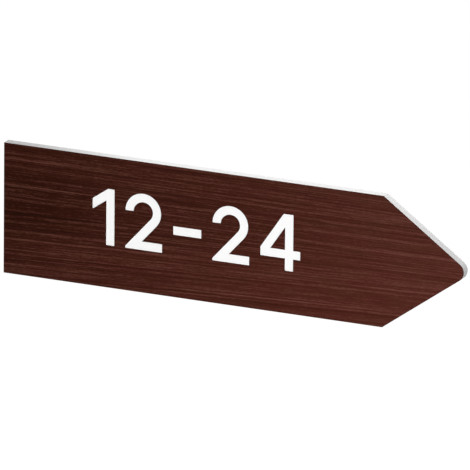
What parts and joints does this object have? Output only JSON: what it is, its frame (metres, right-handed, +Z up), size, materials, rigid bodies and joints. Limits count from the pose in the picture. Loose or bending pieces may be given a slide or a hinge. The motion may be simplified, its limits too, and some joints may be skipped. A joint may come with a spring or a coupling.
{
  "type": "directional arrow sign",
  "caption": "Flat wayfinding sign cut to an arrow outline with a rounded point: a white plastic board with a dark wood-effect face, fixed to a wall, door or post plate by its plain back.",
  "frame": {"origin": "centre of the back face, midway along the sign's length and height", "axes": "+X along the sign towards the arrow's point, +Y out of the back, +Z up; the wood-effect face looks towards -Y"},
  "size_m": [0.293, 0.0063, 0.08],
  "materials": {
    "white_core": "matte",
    "wood_effect": "satin"
  },
  "bodies": {
    "root": {"core_plate": "white_core", "wood_face": "wood_effect"}
  },
  "joints": []
}
